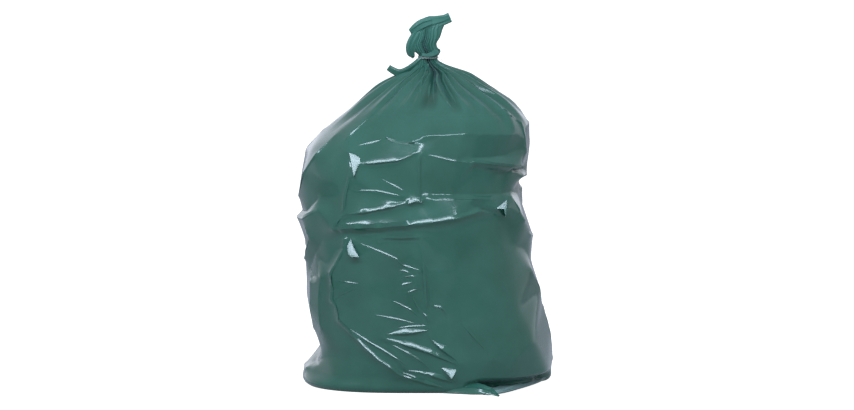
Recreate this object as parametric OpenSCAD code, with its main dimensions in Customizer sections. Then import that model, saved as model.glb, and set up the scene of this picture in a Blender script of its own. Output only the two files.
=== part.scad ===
// Refuse sack of thin film, filled, standing on its base and bound at the neck with a thread.
// The front faces -Y and the film's creases lie in its own coordinates: run is the distance along
// the film from the middle of the front, counted towards +X, and z is the height.

/* [Foot] */
// Width of the sack where it stands on the floor
foot_w = 500; // [440:1:540]
// Depth of the sack where it stands on the floor
foot_d = 396; // [340:1:440]
// How far the foot's middle lies to the right of the neck
foot_x = -2; // [-10:1:10]
// Rounding between the flat base and the sides
foot_r = 14; // [8:1:20]
// How far the film is folded in under the right front edge
foot_tuck = 30; // [10:1:36]

/* [Ankle] */
// Height of the drawn-in band just above the foot
ankle_z = 64; // [50:1:80]
// Width of the drawn-in band
ankle_w = 464; // [420:1:500]

/* [Belly] */
// Height of the fullest part
belly_z = 320; // [290:1:350]
// Width of the fullest part
belly_w = 458; // [400:1:500]
// Depth of the fullest part
belly_d = 404; // [340:1:440]
// How far the belly's middle lies to the right of the neck
belly_x = -27; // [-40:1:0]

/* [Tuck] */
// Height at which the contents leave the film slack and it tucks in
tuck_z = 396; // [380:1:415]
// Width across the tuck
tuck_w = 440; // [380:1:470]

/* [Shoulder] */
// Height of the shoulder
shoulder_z = 450; // [435:1:470]
// Width across the shoulder
shoulder_w = 446; // [390:1:480]
// Depth across the shoulder
shoulder_d = 374; // [320:1:420]

/* [Crown] */
// How far the crown, where the film starts to gather, lies below the tie
crown_drop = 100; // [85:1:115]
// Width of the crown
crown_w = 350; // [310:1:390]
// Depth of the crown
crown_d = 284; // [230:1:320]

/* [Collar] */
// How far the collar of pleats lies below the tie
collar_drop = 34; // [28:1:44]
// Width of the collar
collar_w = 148; // [120:1:180]
// Depth of the collar
collar_d = 116; // [90:1:140]

/* [Neck] */
// Height of the tie, at the middle of its turns
neck_z = 646; // [638:1:665]
// Diameter of the gathered neck under the tie
neck_d = 38; // [28:0.5:48]
// Height of the bound stretch of neck
neck_h = 8; // [6:0.5:12]

/* [Tuft] */
// Height of the loose film above the tie
tuft_h = 78; // [66:1:100]
// Width of the tuft
tuft_w = 63; // [56:1:80]
// Depth of the tuft
tuft_d = 38; // [30:1:50]
// How far the top of the tuft leans to the right
tuft_lean = 12; // [4:1:24]
// How far the torn end of the mouth reaches to the right of the neck
torn_reach = 44; // [36:1:56]

/* [Mouth corner] */
// How far the corner of the sack's mouth stands out from the middle of the neck
corner_reach = 79; // [70:1:95]
// Width of the folded corner at its cut end
corner_w = 12.5; // [8:0.5:18]
// Thickness of the folded corner at its cut end
corner_t = 3; // [1.5:0.1:5]

/* [Seam] */
// How far the tip of the folded bottom seam shows in front of the foot
seam_reach = 27; // [16:1:36]
// Thickness of the folded bottom seam
seam_t = 6; // [3:0.5:8]

/* [Tie] */
// Diameter of the tie's thread
tie_d = 1; // [0.6:0.1:1.6]
// Number of turns round the neck
tie_turns = 3; // [2:1:4]
// Clearance between the thread and the crests of the pleats
tie_gap = 0.3; // [0.2:0.05:0.6]
// Length of the thread's loose end on the left
left_tail_l = 44; // [30:1:50]
// Length of the thread's loose end on the right
right_tail_l = 22; // [14:1:28]

/* [Film] */
// Distance between the creases left by folding the flat film lengthwise
fold_pitch = 175; // [160:1:190]
// How strongly the creases stand out
crease_gain = 1; // [0.5:0.05:1.2]
// How far the flat facets beside a crease reach from it
crease_reach = 36; // [24:1:44]
// Depth of the neck pleats, as a share of the neck's radius
pleat_depth = 0.3; // [0.1:0.02:0.4]

/* [Hidden] */
film_green = [0.25, 0.43, 0.39];
thread_grey = [0.72, 0.75, 0.74];
film_round = 8 * fold_pitch;
neck_low = neck_z - neck_h / 2;
tuft_z = neck_z + neck_h / 2;
top_z = tuft_z + tuft_h;
crown_z = neck_z - crown_drop;
collar_z = neck_z - collar_drop;
foot_side = foot_x + foot_w / 2;
foot_front = -foot_d / 2;
// Height at which the pleats have their full depth
pleats_full_z = collar_z + 16;
// Heights between which the creases come in above the foot and fade out towards the collar
creases_z = [foot_r - 8, foot_r + 20, crown_z + 34, collar_z + 13];
// Runs between which the fold under the foot comes in and fades out
tuck_run = [70, 130, 270, 330];

// The film's lattice: columns round it, rows up its body, and how much closer together the columns
// lie on the front
columns = 88;
body_rows = 34;
gather_rows = 8;
tuft_rows = 9;
crowding = 0.35;
// A lattice point moves onto a crease that lies less than this share of a cell away
snap = 0.42;
// Sides of a loose fold of film
fold_sides = 12;

// Sections from the floor to the tip: height, middle in x, width, middle in y, depth, squareness.
// A squareness of 2 is an ellipse and 3 is a rounded rectangle.
sections = [
    [0, foot_x, foot_w, 0, foot_d, 3],
    [foot_r, foot_x, foot_w, 0, foot_d, 3],
    [ankle_z, foot_x + 15, ankle_w, -2, foot_d + 6, 2.8],
    [ankle_z + 80, foot_x - 4, ankle_w + 4, -2, belly_d + 2, 2.6],
    [belly_z - 40, belly_x + 7, belly_w - 8, -1, belly_d, 2.5],
    [belly_z, belly_x, belly_w, -1, belly_d, 2.5],
    [tuck_z, belly_x - 6, tuck_w, 0, belly_d - 12, 2.4],
    [shoulder_z, belly_x + 3, shoulder_w, 0, shoulder_d, 2.4],
    [(shoulder_z + crown_z) / 2, -4, shoulder_w - 38, 0, shoulder_d - 36, 2.3],
    [crown_z, 18, crown_w, 0, crown_d, 2.2],
    [collar_z, 17, collar_w, 0, collar_d, 2.1],
    [neck_low - 8, 3, neck_d + 16, 0, neck_d + 12, 2],
    [neck_low, 0, neck_d, 0, neck_d, 2],
    [tuft_z, 0, neck_d, 0, neck_d, 2],
    [tuft_z + 0.08 * tuft_h, tuft_lean - 15, 0.73 * tuft_w, 0, tuft_d, 2.1],
    [tuft_z + 0.18 * tuft_h, tuft_lean - 19, 0.84 * tuft_w, 0, tuft_d, 2.1],
    [tuft_z + 0.28 * tuft_h, tuft_lean - 21, 0.83 * tuft_w, 0, tuft_d, 2.2],
    [tuft_z + 0.45 * tuft_h, tuft_lean - 17, 0.92 * tuft_w, 0, 0.92 * tuft_d, 2.2],
    [tuft_z + 0.63 * tuft_h, tuft_lean - 15, tuft_w, 0, 0.79 * tuft_d, 2.3],
    [tuft_z + 0.77 * tuft_h, tuft_lean - 9, 0.95 * tuft_w, 0, 0.66 * tuft_d, 2.3],
    [tuft_z + 0.87 * tuft_h, tuft_lean - 5, 0.79 * tuft_w, 0, 0.47 * tuft_d, 2.4],
    [tuft_z + 0.95 * tuft_h, tuft_lean - 3, 0.6 * tuft_w, 0, 0.29 * tuft_d, 2.4],
    [top_z, tuft_lean, 0.29 * tuft_w, 0, 0.1 * tuft_d, 2.4],
];

// Pleats gathered by the tie: run at the tie, run where they fade out, the height there, share of
// the depth, and how far each side reaches from the bottom of the pleat.
pleats = [
    [-655, -640, 520, 0.8, 26], [-575, -560, 500, 1.0, 34], [-500, -480, 530, 0.7, 24],
    [-430, -415, 505, 0.9, 30], [-352, -345, 520, 0.8, 26], [-275, -265, 500, 1.0, 30],
    [-214, -226, 530, 0.5, 20], [-165, -186, 515, 0.7, 18], [-112, -130, 535, 0.6, 20],
    [-66, -96, 530, 0.7, 18], [-22, -34, 536, 1.9, 42], [34, 72, 528, 1.5, 26],
    [84, 140, 522, 0.8, 22], [132, 206, 500, 0.9, 24], [196, 268, 490, 0.9, 28],
    [262, 330, 520, 0.7, 26], [332, 395, 500, 1.0, 30], [400, 440, 520, 0.8, 26],
    [470, 500, 505, 0.9, 30], [545, 562, 520, 0.8, 26], [615, 630, 500, 1.0, 30],
];

// Creases on the front. Each has how far the film falls off beside it, the gap within which it
// does, and its points: x, height and how far the film stands out there (or in). The film falls
// off to the right of someone who walks along the points where the gap is more than zero.
front_creases = [
    // The lengthwise folds left of the middle and in the middle
    [0, 0, [-105, 545, 2], [-155, 495, 4], [-153, 470, 3]],
    [2, 10, [-155, 418, 4], [-158, 392, 4], [-162, 352, 5]],
    [3, -6, [-18, 458, 2], [-15, 384, 3]],
    [3, -6, [-8, 254, 2], [-4, 208, 3], [-2, 168, 3]],
    // The upper left panel
    [0, 0, [-145, 479, 3], [-80, 497, 6]],
    [5, 8, [-80, 498, 8], [-60, 491, 8], [-20, 489, 4]],
    [8, 7, [-153, 469, 3], [-143, 424, 14]],
    [0, 0, [-143, 424, 14], [-134, 447, 9], [-119, 450, 8]],
    [6, 8, [-119, 450, 8], [-58, 456, 8], [-24, 470, 4]],
    [5, 9, [-160, 350, 7], [-100, 361, 7], [-36, 377, 8], [-12, 379, 8]],
    [5, 7, [-181, 321, 8], [-161, 349, 8]],
    // The long fold across the belly
    [13, 11, [-181, 320, 8], [-155, 326, 11], [-87, 330, 13], [2, 338, 13], [52, 345, 11],
        [94, 356, 6]],
    // The lobe at the lower left
    [0, 0, [-153, 303, 4], [-157, 292, 6], [-153, 274, 12]],
    [0, 0, [-153, 303, 4], [-134, 270, 12]],
    [0, 0, [-144, 301, 5], [-58, 266, 5], [-14, 244, 4], [-6, 230, 3]],
    [8, 10, [-161, 302, 6], [-161, 283, 7], [-174, 259, 7], [-187, 233, 8], [-183, 200, 8],
        [-185, 179, 8], [-171, 142, 8], [-118, 90, 8], [-54, 38, 6], [42, 10, 3]],
    [0, 0, [-187, 222, 7], [-127, 216, 3]],
    [0, 0, [-184, 181, 7], [-127, 214, 3]],
    // The fan of short folds beside the middle
    [6, 7, [-62, 119, 4], [-2, 128, 8]],
    [9, 7, [-71, 107, 8], [2, 84, 11], [44, 62, 7], [55, 65, 5]],
    [5, 6, [-33, 47, 4], [4, 40, 5], [46, 25, 2]],
    [0, 0, [26, 54, 3], [46, 32, 10], [55, 50, 3]],
    // The smoother right half
    [0, 0, [-14, 470, 1], [52, 452, -3], [76, 444, -4], [105, 431, -3]],
    [0, 0, [90, 458, -5], [156, 460, -8]],
    [9, 9, [89, 452, 3], [135, 444, 6], [180, 433, 9]],
    [0, 0, [9, 391, -4], [120, 387, -6], [166, 386, -4]],
    [0, 0, [96, 364, -3], [142, 346, -5]],
    [0, 0, [133, 360, 7], [152, 376, 2], [150, 358, 10], [133, 360, 7]],
    [0, 0, [150, 358, 10], [150, 342, 12]],
    [5, -10, [160, 380, 5], [187, 331, 6]],
    [0, 0, [112, 291, -5], [178, 281, -7]],
    [0, 0, [60, 146, 1], [124, 68, 3]],
    // The flat facets at the left edge
    [0, 0, [-209, 298, -6], [-236, 236, -5], [-230, 216, -3]],
    [0, 0, [-208, 222, 5], [-206, 120, 6], [-214, 86, 2]],
];

// Creases elsewhere: the same, but each point is given by its run round the film and its height.
round_creases = [
    // The left side
    [0, 0, [-232, 498, 5], [-240, 460, 6], [-318, 372, 6]],
    [0, 0, [-212, 376, -3], [-262, 346, -6], [-2 * fold_pitch, 342, -7]],
    [0, 0, [-206, 354, 4], [-262, 332, 6], [-2 * fold_pitch, 328, 7]],
    [7, 10, [-256, 312, 4], [-246, 293, 5], [-298, 250, 8]],
    [0, 0, [-302, 276, 2], [-372, 278, -14]],
    [0, 0, [-262, 209, 4], [-258, 160, 6], [-276, 114, 4]],
    [0, 0, [-300, 44, -5], [-256, 42, -4]],
    [0, 0, [-360, 76, -9], [-280, 66, -5]],
    [5, 12, [-360, 500, 4], [-420, 420, 7], [-500, 360, 3]],
    [6, 12, [-390, 320, 6], [-480, 250, 4]],
    [4, 10, [-400, 190, 5], [-470, 110, 4]],
    // The right side
    [0, 0, [210, 540, 2], [262, 520, 4], [280, 462, 4]],
    [0, 0, [330, 518, 1], [338, 440, 2], [352, 413, 9]],
    [18, 9, [286, 414, 9], [360, 411, 11], [440, 424, 3]],
    [0, 0, [300, 366, -7], [380, 362, -8]],
    [0, 0, [300, 296, 5], [372, 286, 8]],
    [0, 0, [282, 250, -3], [360, 240, -6]],
    [4, -10, [268, 230, 4], [300, 188, 6], [322, 154, 3]],
    [0, 0, [330, 150, 5], [2 * fold_pitch, 40, 6]],
    [6, 12, [400, 380, 6], [470, 300, 5]],
    [0, 0, [392, 250, -5], [480, 220, 3]],
    [5, 12, [380, 180, 6], [450, 90, 5]],
    // The back
    [5, 12, [-690, 480, 4], [-600, 505, 6], [-520, 470, 4]],
    [3, 10, [-3 * fold_pitch, 440, 4], [-3 * fold_pitch, 330, 4]],
    [9, 12, [-680, 420, 6], [-560, 400, 8], [-440, 372, 4]],
    [7, 12, [-690, 330, 5], [-590, 352, 7], [-500, 318, 4]],
    [6, 12, [-640, 280, 6], [-560, 200, 6], [-470, 150, 3]],
    [5, 12, [-690, 190, 5], [-620, 120, 5], [-520, 70, 3]],
    [5, 12, [470, 470, 4], [560, 500, 6], [660, 470, 4]],
    [10, 12, [480, 400, 6], [590, 420, 8], [690, 396, 5]],
    [3, 10, [3 * fold_pitch, 380, 3], [3 * fold_pitch, 260, 4]],
    [7, 12, [500, 330, 5], [610, 300, 7], [690, 318, 4]],
    [0, 0, [480, 230, -3], [590, 250, -5]],
    [6, 12, [560, 200, 6], [650, 120, 5], [690, 60, 3]],
];

// Index of the section at or just below a height
function below(z, i = 0) =
    i >= len(sections) - 2 || z < sections[i + 1][0] ? i : below(z, i + 1);

// Rate of change between a section and the next
function rate(i, c) =
    (sections[i + 1][c] - sections[i][c]) / (sections[i + 1][0] - sections[i][0]);

// Slope at a section that never overshoots its neighbours
function slope(i, c) =
    i == 0 || i == len(sections) - 1 ? 0
    : let (a = rate(i - 1, c), b = rate(i, c)) a * b <= 0 ? 0 : 2 * a * b / (a + b);

// A section's value at any height, on a smooth curve through the table
function section_at(z, c) =
    let (i = below(z), h = sections[i + 1][0] - sections[i][0], t = (z - sections[i][0]) / h)
    (2 * t ^ 3 - 3 * t ^ 2 + 1) * sections[i][c] + (t ^ 3 - 2 * t ^ 2 + t) * h * slope(i, c)
    + (3 * t ^ 2 - 2 * t ^ 3) * sections[i + 1][c] + (t ^ 3 - t ^ 2) * h * slope(i + 1, c);

// 0 below from, 1 above to, and smooth between them
function ease(from, to, x) =
    let (t = min(1, max(0, (x - from) / (to - from)))) t * t * (3 - 2 * t);

// The shorter way round the film from one run to another
function way(a, b) =
    let (d = a - b) d - film_round * round(d / film_round);

// The run along the film of a point on the front, from its x and height
function front_run(x, z) =
    let (half_w = section_at(z, 2) / 2, half_d = section_at(z, 4) / 2, square = section_at(z, 5),
        share = (x - section_at(z, 1)) / half_w,
        y = half_d * (1 - abs(share) ^ square) ^ (1 / square))
    film_round * atan2(share * half_w, y) / 360;

// The stretches of all creases: run, height and lift at each end, the fall and its gap
function stretches(points, fall, gap) =
    [for (i = [0:len(points) - 2]) [each points[i], each points[i + 1], fall, gap]];
lines = [
    for (c = front_creases)
        each stretches([for (p = [for (i = [2:len(c) - 1]) c[i]]) [front_run(p[0], p[1]), p[1], p[2]]],
            c[0], c[1]),
    for (c = round_creases)
        each stretches([for (i = [2:len(c) - 1]) c[i]], c[0], c[1])
];

// The bottoms of the pleats, as stretches that lift nothing
pleat_lines = [for (p = pleats) [p[1], p[2], 0, p[0], pleats_full_z, 0, 0, 0]];

// Share of a stretch at which it passes nearest to a point
function nearest(c, run, z) =
    let (along = way(c[3], c[0]), rise = c[4] - c[1])
    min(1, max(0, (way(run, c[0]) * along + (z - c[1]) * rise) / (along ^ 2 + rise ^ 2)));

// The point on a stretch that lies nearest to a point
function foot_on(c, run, z) =
    let (t = nearest(c, run, z))
    [run - way(run, c[0] + t * way(c[3], c[0])), c[1] + t * (c[4] - c[1])];

// How far a stretch of crease moves the film at a point
function lift_of(c, run, z) =
    let (t = nearest(c, run, z), along = way(c[3], c[0]), rise = c[4] - c[1],
        at = way(run, c[0]) - t * along, up = z - c[1] - t * rise, away = norm([at, up]),
        full = c[2] + t * (c[5] - c[2]),
        beside = c[6] > 0 && (at * rise - up * along) * c[7] > 0,
        gap = abs(c[7]))
    !beside ? full * max(0, 1 - away / crease_reach)
    : away < gap ? full - c[6] * away / gap
    : (full - c[6]) * max(0, 1 - (away - gap) / crease_reach);

// Share of the radius that the deepest pleat at a point takes away: a crest between pleats loses none
function pleated(run, z) =
    pleat_depth * (1 - 0.7 * ease(tuft_z, top_z, z)) * max([0, for (p = pleats)
        let (up = min(1, max(0, (z - p[2]) / (pleats_full_z - p[2]))),
            at = p[1] + (p[0] - p[1]) * up)
        p[3] * (0.35 * up + 0.65 * up ^ 2) * (1 - abs(way(run, at)) / (p[4] * (1.25 - 0.25 * up)))]);

// A point on the film's outside
function film_point(run, z, near) =
    let (a = 360 * run / film_round - 90,
        half_w = section_at(z, 2) / 2, half_d = section_at(z, 4) / 2, square = section_at(z, 5),
        inset = z < foot_r ? foot_r - sqrt(foot_r ^ 2 - (foot_r - z) ^ 2) : 0,
        outline = ((abs(cos(a)) / half_w) ^ square + (abs(sin(a)) / half_d) ^ square) ^ (-1 / square),
        fade = crease_gain * ease(creases_z[0], creases_z[1], z) * (1 - ease(creases_z[2], creases_z[3], z)),
        lifts = fade == 0 ? [0] : [0, for (c = near) lift_of(c, run, z)],
        tuck = foot_tuck * ease(tuck_run[0], tuck_run[1], run) * (1 - ease(tuck_run[2], tuck_run[3], run))
            * (1 - ease(foot_r, foot_r + 16, z)),
        r = (outline + fade * (max(lifts) + min(lifts)) - tuck) * (1 - pleated(run, z)) - inset)
    [section_at(z, 1) + r * cos(a), section_at(z, 3) + r * sin(a), z];

// Whether a stretch comes within a distance of a height
function passes(c, z, distance) =
    z > min(c[1], c[4]) - distance && z < max(c[1], c[4]) + distance;

// A lattice point's run and height, moved onto a crease that is close, and whether it was moved
function settled(run, z, wide, high, near) =
    let (feet = [[run, z], for (c = near) foot_on(c, run, z)],
        away = [snap, for (i = [1:len(near)])
            abs(feet[i][0] - run) / wide + abs(feet[i][1] - z) / high],
        least = min(away))
    least >= snap ? [run, z, 0] : [each feet[search(least, away)[0]], 1];

// One ring of the film's outside: its points, each with whether it lies on a crease
function ring(z, high) =
    let (near = [for (c = lines) if (passes(c, z, crease_reach + high)) c],
        snapping = z < foot_r + 4 || z > pleats_full_z ? []
            : [for (c = concat(lines, pleat_lines)) if (passes(c, z, high)) c])
    [for (k = [0:columns - 1])
        let (u = k / columns,
            run = film_round * (u - 0.5 + crowding * sin(360 * u) / (2 * PI)),
            wide = film_round * (1 + crowding * cos(360 * u)) / columns,
            p = snapping == [] ? [run, z, 0] : settled(run, z, wide, high, snapping))
        [film_point(p[0], p[1], near), p[2]]];

// Heights of the rings and the room between them: the base's rounding, the body, the gathered
// crown, the neck and the tuft
body_step = (crown_z - foot_r) / body_rows;
gather_step = (neck_low - crown_z) / gather_rows;
tuft_step = tuft_h / tuft_rows;
levels = concat(
    [for (a = [0:30:90]) [foot_r * (1 - cos(a)), foot_r]],
    [for (k = [1:body_rows]) [foot_r + body_step * k, body_step]],
    [for (k = [1:gather_rows]) [crown_z + gather_step * k, gather_step]],
    [[tuft_z, neck_h]],
    [for (k = [1:tuft_rows]) [tuft_z + tuft_step * k, tuft_step]]
);

// A closed skin over rings of equal length, with a fan at each end. Each cell is split along the
// crease that crosses it.
module skin(rings) {
    n = len(rings[0]);
    last = len(rings) - 1;
    foot = [section_at(0, 1), section_at(0, 3), 0];
    tip = [section_at(top_z, 1), section_at(top_z, 3), top_z];
    sides = [for (j = [0:last - 1], k = [0:n - 1])
        let (m = (k + 1) % n, a = j * n + k, b = j * n + m, c = a + n, d = b + n,
            rising = rings[j][k][1] + rings[j + 1][m][1] == 2)
        each rising ? [[a, c, d], [a, d, b]] : [[a, c, b], [b, c, d]]];
    base = [for (k = [0:n - 1]) [n * (last + 1), k, (k + 1) % n]];
    lid = [for (k = [0:n - 1]) [n * (last + 1) + 1, last * n + (k + 1) % n, last * n + k]];
    polyhedron(
        points = concat([for (r = rings, p = r) p[0]], [foot, tip]),
        faces = concat(sides, base, lid),
        convexity = 6
    );
}

// A tube swept along stations: each is a point on its middle line, its width, its thickness and
// how far it is turned about that line, which never runs straight up. Its width stands upright
// where it isn't turned.
module tube(stations, sides) {
    n = len(stations);
    rings = [for (i = [0:n - 1])
        let (ahead = stations[min(i + 1, n - 1)][0] - stations[max(i - 1, 0)][0],
            along = ahead / norm(ahead),
            flat = cross([0, 0, 1], along),
            side = flat / norm(flat),
            up = cross(along, side),
            turn = stations[i][3],
            wide = sin(turn) * side + cos(turn) * up,
            thin = cos(turn) * side - sin(turn) * up)
        [for (s = [0:sides - 1])
            let (a = 360 * s / sides)
            stations[i][0] + (stations[i][2] * cos(a) * thin + stations[i][1] * sin(a) * wide) / 2]];
    walls = [for (i = [0:n - 2], s = [0:sides - 1])
        let (m = (s + 1) % sides)
        each [
            [i * sides + s, (i + 1) * sides + s, i * sides + m],
            [i * sides + m, (i + 1) * sides + s, (i + 1) * sides + m]
        ]];
    polyhedron(
        points = [for (r = rings, p = r) p],
        faces = concat(
            walls,
            [[for (s = [0:sides - 1]) s]],
            [[for (s = [sides - 1:-1:0]) (n - 1) * sides + s]]
        ),
        convexity = 8
    );
}

// The left side of the tuft, which hangs over the tie
module left_lobe() {
    tube([
        [[-16, -9, tuft_z + 50], 18, 12, 0], [[-27, -10, tuft_z + 32], 22, 15, 0],
        [[-33, -10, tuft_z + 18], 22, 16, 0], [[-34, -8, tuft_z + 8], 16, 12, 0],
        [[-32, -6, tuft_z + 2], 9, 8, 0], [[-31, -6, tuft_z - 1], 5, 5, 0],
    ], fold_sides);
}

// The corner at the top of the tuft's left side
module left_corner() {
    tube([
        [[6, -12, top_z - 11], 16, 10, 0], [[-10, -14, top_z - 15], 21, 11, 0],
        [[-24, -13, top_z - 23], 18, 9, 0], [[-36, -10, top_z - 31], 9, 4, 0],
    ], fold_sides);
}

// The torn end of the mouth, which sticks out at the top right
module torn_end() {
    tube([
        [[torn_reach - 50, -6, top_z - 22], 30, 16, 0], [[torn_reach - 34, -7, top_z - 14], 27, 13, 0],
        [[torn_reach - 20, -6, top_z - 10], 23, 10, 0], [[torn_reach - 10, -5, top_z - 7], 20.5, 7, 0],
        [[torn_reach, -4, top_z - 3], 20.5, 5, 0],
    ], fold_sides);
}

// The folded corner of the mouth that slipped out under the tie and stands out to the left
module mouth_corner() {
    tube([
        [[-14, -11, neck_z - 13], corner_w, corner_t + 3, 0],
        [[-28, -13, neck_z - 20], corner_w + 3.5, corner_t + 2.5, 0],
        [[-0.56 * corner_reach, -12, neck_z - 28], corner_w + 4.5, corner_t + 1.6, 0],
        [[-0.73 * corner_reach, -10, neck_z - 31], corner_w + 3.5, corner_t + 0.8, 0],
        [[-0.89 * corner_reach, -9, neck_z - 26], corner_w + 1.5, corner_t + 0.2, 0],
        [[-corner_reach, -8, neck_z - 20], corner_w, corner_t, 0],
    ], fold_sides);
}

// A small upright post, round which the seam's folds are drawn
module post(x, y, d, h) {
    translate([x, foot_front + y, 0])
        cylinder(d = d, h = h, $fn = 16);
}

// The tongue of the folded bottom seam, which slopes down from the front to the floor
module seam_lip() {
    hull() {
        post(4, 14, 8, 4);
        post(60, 2, 10, 16);
        post(104, 16, 24, 22);
        post(137, 2 - seam_reach, 4, 2.6);
    }
}

// The seam's flat fold under the right front edge of the foot
module seam_under() {
    hull() {
        post(100, 30, 20, 2 * seam_t);
        post(134, 8 - seam_reach, 6, 0.6 * seam_t);
        post(foot_side - 5, 157, 8, seam_t + 2);
        post(foot_side - 50, 150, 20, 2 * seam_t);
    }
}

// Its film and folds are one mesh: resize() by nothing hands their union over as one
module sack() {
    color(film_green)
        resize([0, 0, 0])
            union() {
                skin([for (l = levels) ring(l[0], l[1])]);
                left_lobe();
                left_corner();
                torn_end();
                mouth_corner();
                seam_lip();
                seam_under();
            }
}

// The thread: in from its left end, round the neck and out to its right end
tie_pitch = 1.2 * tie_d;
tie_sides = 8;
turn_steps = 20;
// The straight steps of a turn touch a circle of this radius with their middles
tie_r = (neck_d / 2 + tie_gap + tie_d / 2) / cos(180 / turn_steps);
tail_steps = 6;
tie_low = neck_z - tie_turns * tie_pitch / 2;
tie_from = 255;
tie_sweep = 360 * tie_turns + 60;

// A point of the winding, from 0 where it meets the neck to 1 where it leaves
function wound(t) =
    let (a = tie_from + tie_sweep * t)
    [tie_r * cos(a), tie_r * sin(a), tie_low + tie_turns * tie_pitch * t];

// The direction in which the winding runs at a point
function heading(t) =
    let (a = tie_from + tie_sweep * t)
    [-sin(a), cos(a), 0];

// A point of a loose end, a share t of the way out, drooping towards its tip
function loose(root, away, length, droop, t) =
    root + length * (away * t - [0, 0, droop * t ^ 2]);

thread = concat(
    [for (k = [tail_steps:-1:1]) loose(wound(0), -heading(0), left_tail_l, 0.08, k / tail_steps)],
    [for (k = [0:tie_turns * turn_steps]) wound(k / (tie_turns * turn_steps))],
    [for (k = [1:tail_steps]) loose(wound(1), heading(1), right_tail_l, 0.45, k / tail_steps)]
);

module neck_tie() {
    color(thread_grey)
        tube([for (p = thread) [p, tie_d, tie_d, 0]], tie_sides);
}

sack();
neck_tie();
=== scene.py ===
"""A filled refuse sack of thin film, tied at the neck with a thread, on a plain studio floor."""

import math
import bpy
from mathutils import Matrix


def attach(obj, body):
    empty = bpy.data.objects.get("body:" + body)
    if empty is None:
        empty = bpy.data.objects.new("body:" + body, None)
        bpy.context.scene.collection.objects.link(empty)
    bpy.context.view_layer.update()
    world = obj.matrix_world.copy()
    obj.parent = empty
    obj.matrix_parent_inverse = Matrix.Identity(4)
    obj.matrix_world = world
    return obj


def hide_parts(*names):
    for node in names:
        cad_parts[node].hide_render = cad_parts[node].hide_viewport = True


bl_info = {
    "name": "Filled refuse sack",
    "version": (1, 0, 0),
    "blender": (4, 5, 0),
    "location": "View3D > Sidebar > Sack",
    "description": "Dresses a filled, tied refuse sack in creased film and sets a plain studio",
    "category": "Object",
}

import bmesh
import bpy
import numpy as np
from bpy.props import FloatProperty, FloatVectorProperty, IntProperty, PointerProperty
from mathutils import Vector
from mathutils.bvhtree import BVHTree
from mathutils.geometry import delaunay_2d_cdt
from mathutils.kdtree import KDTree

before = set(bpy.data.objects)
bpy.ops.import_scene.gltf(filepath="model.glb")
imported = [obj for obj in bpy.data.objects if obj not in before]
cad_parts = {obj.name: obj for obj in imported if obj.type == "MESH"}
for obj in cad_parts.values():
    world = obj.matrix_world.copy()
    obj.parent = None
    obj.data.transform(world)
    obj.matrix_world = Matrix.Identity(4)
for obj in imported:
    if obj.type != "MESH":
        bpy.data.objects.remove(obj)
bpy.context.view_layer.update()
MM = 0.001
BODY = "root"

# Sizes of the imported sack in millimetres. Its neck runs through the origin of x and y.
NECK_H = 8
NECK_Z = 646
TUFT_Z = NECK_Z + NECK_H / 2
TOP_Z = TUFT_Z + 78
FOOT_X, FOOT_W, FOOT_D, FOOT_R = -2, 500, 396, 14
FOLD_PITCH = 175
FILM_ROUND = 8 * FOLD_PITCH
CROWN_Z = 546
PLEATS_FULL_Z = 628

# Rows of points up the film: on the base, the body, the gathered shoulders and the tuft.
BASE_ROWS, BODY_ROWS, GATHER_ROWS, TUFT_ROWS = 18, 230, 40, 29

# Sections from the floor to the tip: height, middle in x, width, middle in y, depth, squareness.
SECTIONS = np.array([
    (0, FOOT_X, FOOT_W, 0, FOOT_D, 3),
    (FOOT_R, FOOT_X, FOOT_W, 0, FOOT_D, 3),
    (64, 13, 464, -2, 402, 2.8),
    (144, -6, 468, -2, 406, 2.6),
    (280, -20, 450, -1, 404, 2.5),
    (320, -27, 458, -1, 404, 2.5),
    (396, -33, 440, 0, 392, 2.4),
    (450, -24, 446, 0, 374, 2.4),
    (500, -4, 408, 0, 338, 2.3),
    (546, 18, 350, 0, 284, 2.2),
    (612, 17, 148, 0, 116, 2.1),
    (634, 3, 54, 0, 50, 2),
    (642, 0, 38, 0, 38, 2),
    (650, 0, 38, 0, 38, 2),
    (656, -3, 46, 0, 38, 2.1),
    (664, -7, 53, 0, 38, 2.1),
    (672, -9, 52, 0, 38, 2.2),
    (685, -5, 58, 0, 35, 2.2),
    (699, -3, 63, 0, 30, 2.3),
    (710, 3, 60, 0, 25, 2.3),
    (718, 7, 50, 0, 18, 2.4),
    (724, 9, 38, 0, 11, 2.4),
    (728, 12, 18, 0, 4, 2.4),
])

# Pleats gathered by the tie, which lie along the film: run at the tie, run where they fade out,
# the height there, depth as a share of the neck's radius, and how far each side reaches.
PLEATS = [
    (-655, -640, 520, 0.8, 26), (-575, -560, 500, 1.0, 34), (-500, -480, 530, 0.7, 24),
    (-430, -415, 505, 0.9, 30), (-352, -345, 520, 0.8, 26), (-275, -265, 500, 1.0, 30),
    (-214, -226, 530, 0.5, 20), (-165, -186, 515, 0.7, 18), (-112, -130, 535, 0.6, 20),
    (-66, -96, 530, 0.7, 18), (-22, -34, 536, 1.9, 42), (34, 72, 528, 1.5, 26),
    (84, 140, 522, 0.8, 22), (132, 206, 500, 0.9, 24), (196, 268, 490, 0.9, 28),
    (262, 330, 520, 0.7, 26), (332, 395, 500, 1.0, 30), (400, 440, 520, 0.8, 26),
    (470, 500, 505, 0.9, 30), (545, 562, 520, 0.8, 26), (615, 630, 500, 1.0, 30),
]

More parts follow.
